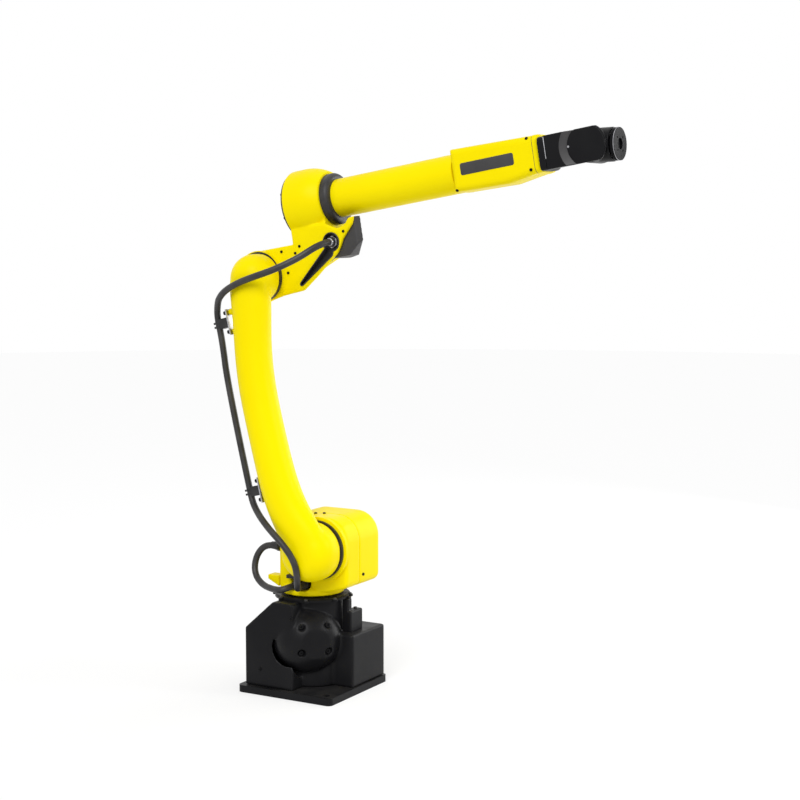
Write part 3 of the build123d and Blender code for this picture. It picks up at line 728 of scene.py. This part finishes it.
def model_clamp():
    """A bar with eased edges and a low step for its screw."""
    piece = box_blank(*CLAMP_SIZE)
    pick_top(piece)
    inset_faces(CLAMP_RIM)
    raise_faces(CLAMP_STEP)
    bpy.ops.mesh.select_all(action="SELECT")
    ease_edges(CLAMP_EASE, 2)
    bpy.ops.object.mode_set(mode="OBJECT")
    return piece


copies(model_clamp(), "loop_clamp", [facing(CLAMP_PLACE, NEAR)], "black_plastic", "swivel")
outlet_seats = [facing(place, NEAR) for place in OUTLET_PLACES]
copies(model_nut(*OUTLET_NUT), "outlet_nuts", outlet_seats, "black_plastic", "swivel")
socket_seats = [facing(LOOP_SOCKET_PLACE, REAR)]
copies(model_nut(*LOOP_NUT), "loop_socket_nut", socket_seats, "black_plastic", "swivel")

# Lower arm: the clips' screws and straps

ARM_MIDDLE = 152.0
CLIP_REACHES = (152.0, 137.0)
CLIP_HEIGHTS = (213.0, ARM_LENGTH - 114.0)
CLIP_PLATE_FACE = 42.3
CLIP_SCREW_SIDE = 8.0
CLIP_SCREW_RISES = (-29.0, 29.0)
STRAP_RISES = (-9.0, 3.0)
STRAP_SIDES = 32
STRAP_RADIUS = 11.6
STRAP_WIDTH = 6.0
STRAP_LOCK = 5.0
STRAP_WALL = 1.4


def model_strap():
    """A band round the cable with its lock standing out."""
    piece = open_tube(STRAP_SIDES, STRAP_RADIUS, STRAP_WIDTH)
    pick_faces(piece, lambda middle, normal: normal.x < -0.95)
    bpy.ops.mesh.extrude_region_move(TRANSFORM_OT_translate={"value": (-STRAP_LOCK * MM, 0.0, 0.0)})
    bpy.ops.object.mode_set(mode="OBJECT")
    return thicken(piece, STRAP_WALL)


clip_screws = []
clip_straps = []
for reach, height in zip(CLIP_REACHES, CLIP_HEIGHTS):
    for rise in CLIP_SCREW_RISES:
        place = ARM_FRAME @ Vector((CLIP_PLATE_FACE - reach, -ARM_MIDDLE - CLIP_SCREW_SIDE, height + rise))
        clip_screws.append(facing(place, turned(ARM_FRAME, REAR)))
    for rise in STRAP_RISES:
        place = ARM_FRAME @ Vector((-reach, -ARM_MIDDLE, height + rise))
        clip_straps.append(Matrix.Translation(place * MM) @ ARM_FRAME.to_3x3().to_4x4())
screws("clip_screws", CLIP_SCREW, clip_screws, "black_paint", "lower_arm")
copies(model_strap(), "clip_straps", clip_straps, "black_plastic", "lower_arm")

# Elbow: lip over the seal, screws, edging of the cable slot, gland nut and the motor cover's screws

WALL_FACE = -78.0
LIP_SIDES = 64
LIP_RADIUS = 79.5
LIP_WIDTH = 13.2
LIP_WALL = 3.0
LIP_START = math.radians(14.0)


def seal_lip():
    """Half ring of the elbow's wall that hides the seal from above."""
    piece = thicken(open_tube(LIP_SIDES, LIP_RADIUS, LIP_WIDTH), LIP_WALL)
    bpy.ops.object.mode_set(mode="EDIT")
    bpy.ops.mesh.select_all(action="SELECT")
    bpy.ops.mesh.bisect(
        plane_co=(0.0, 0.0, 0.0), plane_no=(math.sin(LIP_START), -math.cos(LIP_START), 0.0),
        clear_outer=True, use_fill=True,
    )
    bpy.ops.object.mode_set(mode="OBJECT")
    return piece


copies(seal_lip(), "seal_lip", [near_lay(ELBOW_FRAME, (0.0, WALL_FACE, 0.0))], "yellow_paint", "elbow")

ELBOW_SCREW_SPOTS = ((86, 64), (152, 70), (134, 52), (99, -2), (311, 89))
ELBOW_SCREW_PLACES = [(along, WALL_FACE, rise) for along, rise in ELBOW_SCREW_SPOTS]
elbow_seats = on_link(ELBOW_FRAME, skins["elbow_casting"], ELBOW_SCREW_PLACES, NEAR)
screws("elbow_screws", SMALL_SCREW, elbow_seats, "black_paint", "elbow")

SLOT_POINTS = (
    (134.3, -41), (150, -27.5), (236, 46.3), (240.5, 50), (240.5, 50), (235.1, 57.4), (238, 79.4),
    (255.6, 92.9), (277.6, 90), (291.1, 72.4), (288.2, 50.4), (275.4, 38.6), (264.7, 37.9), (264.7, 37.9),
    (264.3, 27), (245, 15.1), (152, -41.1), (139.7, -48.6),
)
SLOT_DEPTH = 15.0
SLOT_TRIM = 1.6
SLOT_PROUD = 0.5


def slot_edging():
    """Rubber edging that lines the wall of the cable slot."""
    line = bpy.data.curves.new("slot_edging", "CURVE")
    line.dimensions = "2D"
    line.fill_mode = "NONE"
    spline = line.splines.new("NURBS")
    spline.points.add(len(SLOT_POINTS) - 1)
    for point, (along, rise) in zip(spline.points, SLOT_POINTS):
        point.co = (along * MM, rise * MM, 0.0, 1.0)
    spline.order_u = 3
    spline.use_cyclic_u = True
    spline.resolution_u = 8
    line.extrude = SLOT_DEPTH / 2 * MM
    line.bevel_depth = SLOT_TRIM * MM
    line.bevel_resolution = 2
    piece = bpy.data.objects.new("slot_edging", line)
    bpy.context.collection.objects.link(piece)
    only(piece)
    bpy.ops.object.convert(target="MESH")
    piece = bpy.context.object
    piece.matrix_world = near_lay(ELBOW_FRAME, (0.0, WALL_FACE + SLOT_DEPTH / 2 - SLOT_PROUD, 0.0))
    only(piece)
    bpy.ops.object.transform_apply()
    settle(piece, "black_rubber", "elbow")


slot_edging()
GLAND_PLACE = ELBOW_FRAME @ Vector((263.1, -66.0, 64.9))
copies(model_nut(*GLAND_NUT), "elbow_gland_nut", [facing(GLAND_PLACE, NEAR)], "bare_steel", "elbow")

MOTOR_SCREW_PLACES = ((358, -42, 70), (358, -42, 116), (358, 10, 66))
motor_seats = on_link(ELBOW_FRAME, skins["elbow_motor_cover"], MOTOR_SCREW_PLACES, FRONT)
screws("motor_cover_screws", MOTOR_SCREW, motor_seats, "black_paint", "elbow")

# Forearm: the cover's screws, plain plate, lip and seam, a pale strip as the mount's painted highlight, and
# the disc's screw and scoop

COVER_SCREW_PLACES = ((926, -60, 50), (928, -60, -37), (690, -60, -52))
FAR_SCREW_PLACES = [(along, -side, rise) for along, side, rise in COVER_SCREW_PLACES]
cover_seats = on_link(FOREARM_FRAME, skins["forearm_cover"], COVER_SCREW_PLACES, NEAR)
cover_seats += on_link(FOREARM_FRAME, skins["forearm_cover"], FAR_SCREW_PLACES, FAR)
screws("forearm_cover_screws", FOREARM_SCREW, cover_seats, "black_paint", "forearm")

# Plates: length, width, corner radius and thickness
PLATE_SIZE = (168.0, 34.0, 6.0, 0.8)
HIGHLIGHT_STRIP_SIZE = (1.8, 60.0, 0.8, 0.6)
PLATE_RIM = 0.8
PLATE_CROWN = 0.3
PLATE_PLACE = (796, -60.0, 3)
# Place of the pale strip that is the mount's painted highlight
HIGHLIGHT_STRIP_PLACE = (982, -70.0, 13)


def model_plate(length, width, corner, thickness):
    """A thin plate with round corners and an eased rim."""
    bpy.ops.object.select_all(action="DESELECT")
    bpy.ops.mesh.primitive_plane_add(size=MM, location=(0.0, 0.0, 0.0))
    piece = bpy.context.object
    piece.scale = (length, width, 1.0)
    bpy.ops.object.transform_apply()
    only(piece)
    bpy.ops.object.mode_set(mode="EDIT")
    bpy.ops.mesh.select_all(action="SELECT")
    bpy.ops.mesh.bevel(offset=corner * MM, segments=5, affect="VERTICES")
    bpy.ops.mesh.select_all(action="SELECT")
    raise_faces(thickness)
    inset_faces(PLATE_RIM)
    bpy.ops.transform.translate(value=(0.0, 0.0, PLATE_CROWN * MM))
    bpy.ops.mesh.select_all(action="SELECT")
    bpy.ops.mesh.normals_make_consistent(inside=False)
    bpy.ops.object.mode_set(mode="OBJECT")
    return piece


plate_lay = [near_lay(FOREARM_FRAME, PLATE_PLACE)]
copies(model_plate(*PLATE_SIZE), "plain_plate", plate_lay, "grey_cover", "forearm")
# A pale steel strip painted as the highlight on the step between the mount and the fork
highlight_strip_lay = [near_lay(FOREARM_FRAME, HIGHLIGHT_STRIP_PLACE)]
copies(model_plate(*HIGHLIGHT_STRIP_SIZE), "mount_highlight_strip", highlight_strip_lay, "bare_steel", "forearm")

INDEX_SCREW_PLACES = ((1049, -62, 4),)
index_seats = on_link(FOREARM_FRAME, NODES["j5_cap"], INDEX_SCREW_PLACES, NEAR)
screws("disc_index_screw", INDEX_SCREW, index_seats, "bare_steel", "forearm")

LIP_STATIONS = (942.0, 956.0)
LIP_PROUD = 1.0
SEAM_STATIONS = (940.4, 942.0)
SEAM_PROUD = 0.3


def cover_band(name, stations, thickness, slot):
    """A band cut from the forearm's cover between two stations along it, standing a little proud."""
    piece = bpy.data.objects.new(name, skins["forearm_cover"].data.copy())
    bpy.context.collection.objects.link(piece)
    only(piece)
    along = turned(FOREARM_FRAME, FRONT)
    for station, outer in zip(stations, (False, True)):
        bpy.ops.object.mode_set(mode="EDIT")
        bpy.ops.mesh.select_all(action="SELECT")
        bpy.ops.mesh.bisect(
            plane_co=(FOREARM_FRAME @ Vector((station, 0.0, 0.0))) * MM, plane_no=along,
            clear_inner=not outer, clear_outer=outer,
        )
        bpy.ops.object.mode_set(mode="OBJECT")
    thicken(piece, thickness, offset=1.0)
    settle(piece, slot, "forearm")


cover_band("cover_lip", LIP_STATIONS, LIP_PROUD, "yellow_paint")
cover_band("cover_seam", SEAM_STATIONS, SEAM_PROUD, "black_plastic")

SCOOP_SIDES = 96
SCOOP_FOOT = 57.0
SCOOP_MOUTH = 76.0
SCOOP_DEPTH = 12.0
SCOOP_HALF = 45.5
SCOOP_FRONT = -12.0
SCOOP_WALL = 1.2
SCOOP_PLACE = (FOREARM_LENGTH, -58.0, 0)


def scoop_lining():
    """Machined crescent in the fork, round the disc of the bend axis."""
    piece = open_tube(SCOOP_SIDES, SCOOP_FOOT, SCOOP_DEPTH)
    for corner in piece.data.vertices:
        corner.select = corner.co.z > SCOOP_DEPTH * MM / 2
    bpy.ops.object.mode_set(mode="EDIT")
    bpy.ops.mesh.select_mode(type="VERT")
    bpy.ops.transform.resize(value=(SCOOP_MOUTH / SCOOP_FOOT, SCOOP_MOUTH / SCOOP_FOOT, 1.0))
    for limit, side in ((SCOOP_HALF, FAR), (SCOOP_HALF, NEAR), (SCOOP_FRONT, FRONT)):
        bpy.ops.mesh.select_all(action="SELECT")
        bpy.ops.mesh.bisect(plane_co=Vector(side) * limit * MM, plane_no=side, clear_outer=True)
    bpy.ops.object.mode_set(mode="OBJECT")
    return thicken(piece, SCOOP_WALL, offset=0.0)


scoop_lay = [near_lay(FOREARM_FRAME, SCOOP_PLACE)]
copies(scoop_lining(), "scoop_lining", scoop_lay, "grey_cover", "forearm")

# Wrist: rim of the tool flange

RIM_SIDES = 64
RIM_RADIUS = 45.6
RIM_WIDTH = 1.6
RIM_WALL = 1.0
RIM_REACH = 72.0
rim_seat = facing(WRIST_FRAME @ Vector((RIM_REACH, 0.0, 0.0)), turned(WRIST_FRAME, FRONT))
flange_rim = thicken(open_tube(RIM_SIDES, RIM_RADIUS, RIM_WIDTH), RIM_WALL)
copies(flange_rim, "flange_rim", [rim_seat], "bare_steel", "tool")

for name in NODES:
    dress_node(name, FINISHES[SLOT_OF[name]])
dress_node("tool_flange", FLANGE_FINISH)

# Stage

VIEW_RIGHT = Vector((math.cos(VIEW_AZIMUTH), math.sin(VIEW_AZIMUTH), 0.0))
VIEW_BACK = Vector((math.sin(VIEW_AZIMUTH), -math.cos(VIEW_AZIMUTH), 0.0))
FLOOR_SIDES = 96
FLOOR_RADIUS = 14.0
FLOOR_ROUGHNESS = 0.9
WHITE = (1.0, 1.0, 1.0)
FLOOR_BOUNCE = (0.75, 0.75, 0.75)
FLOOR_GLOW_SHARE = 0.6
SKY_STRENGTH = 0.58


def seen_rays(tree):
    """One for the rays that show a surface, nought for those that only light others."""
    path = tree.nodes.new("ShaderNodeLightPath")
    direct = maths(tree, "MAXIMUM", path.outputs["Is Camera Ray"], path.outputs["Is Glossy Ray"])
    return maths(tree, "MAXIMUM", direct, path.outputs["Is Transmission Ray"])


def view_offset(right, back, up):
    """Metres to the right of, towards and above the camera's target, as the camera sees them."""
    return right * VIEW_RIGHT + back * VIEW_BACK + Vector((0.0, 0.0, up))


def make_floor():
    bpy.ops.object.select_all(action="DESELECT")
    bpy.ops.mesh.primitive_circle_add(
        vertices=FLOOR_SIDES, radius=FLOOR_RADIUS, fill_type="NGON", location=(0.0, 0.0, 0.0)
    )
    floor = bpy.context.object
    floor.name = "studio_floor"
    material = bpy.data.materials.new("studio_floor")
    material.use_nodes = True
    tree = material.node_tree
    shader = tree.nodes["Principled BSDF"]
    shader.inputs["Roughness"].default_value = FLOOR_ROUGHNESS
    shader.inputs["Specular IOR Level"].default_value = 0.0
    glow = tree.nodes.new("ShaderNodeEmission")
    seen = seen_rays(tree)
    tree.links.new(mix_colour(tree, seen, FLOOR_BOUNCE, WHITE), shader.inputs["Base Color"])
    share = maths(tree, "MULTIPLY", seen, FLOOR_GLOW_SHARE)
    blend = tree.nodes.new("ShaderNodeMixShader")
    tree.links.new(share, blend.inputs[0])
    tree.links.new(shader.outputs[0], blend.inputs[1])
    tree.links.new(glow.outputs[0], blend.inputs[2])
    tree.links.new(blend.outputs[0], tree.nodes["Material Output"].inputs["Surface"])
    floor.data.materials.append(material)


def make_world():
    world = bpy.data.worlds.new("studio")
    world.use_nodes = True
    bpy.context.scene.world = world
    tree = world.node_tree
    light = tree.nodes["Background"]
    light.inputs["Color"].default_value = (*WHITE, 1.0)
    light.inputs["Strength"].default_value = SKY_STRENGTH
    white = tree.nodes.new("ShaderNodeBackground")
    white.inputs["Color"].default_value = (*WHITE, 1.0)
    seen = seen_rays(tree)
    blend = tree.nodes.new("ShaderNodeMixShader")
    tree.links.new(seen, blend.inputs[0])
    tree.links.new(light.outputs[0], blend.inputs[1])
    tree.links.new(white.outputs[0], blend.inputs[2])
    tree.links.new(blend.outputs[0], tree.nodes["World Output"].inputs["Surface"])


def add_lamp(name, right, back, up, size, power):
    """A soft box that is aimed at the camera's target."""
    data = bpy.data.lights.new(name, "AREA")
    data.shape = "DISK"
    data.size = size
    data.energy = power
    lamp = bpy.data.objects.new(name, data)
    bpy.context.collection.objects.link(lamp)
    offset = view_offset(right, back, up)
    lamp.location = VIEW_TARGET + offset
    lamp.rotation_euler = offset.to_track_quat("Z", "Y").to_euler()
    lamp.visible_camera = False


def add_sun(name, right, back, up, spread, strength):
    """A broad, even light from one side, with soft shadows."""
    data = bpy.data.lights.new(name, "SUN")
    data.angle = math.radians(spread)
    data.energy = strength
    lamp = bpy.data.objects.new(name, data)
    bpy.context.collection.objects.link(lamp)
    offset = view_offset(right, back, up)
    lamp.rotation_euler = offset.to_track_quat("Z", "Y").to_euler()


make_floor()
make_world()
add_sun("key_sun", right=-0.35, back=1.2, up=1.05, spread=36.0, strength=1.72)
add_lamp("back_box", right=2.8, back=-2.2, up=0.3, size=3.0, power=60.0)
add_lamp("side_box", right=3.2, back=0.9, up=1.4, size=1.1, power=32.0)

camera_data = bpy.data.cameras.new("photo_view")
camera_data.sensor_width = SENSOR_WIDTH
camera_data.lens = PHOTO_FOCAL / PHOTO_WIDTH * SENSOR_WIDTH
camera = bpy.data.objects.new("photo_view", camera_data)
bpy.context.collection.objects.link(camera)
view_from = VIEW_BACK * math.cos(VIEW_ELEVATION) + Vector((0.0, 0.0, math.sin(VIEW_ELEVATION)))
camera.location = VIEW_TARGET + view_from * VIEW_DISTANCE
camera.rotation_euler = view_from.to_track_quat("Z", "Y").to_euler()
bpy.context.scene.camera = camera
bpy.context.scene.view_settings.view_transform = "Standard"
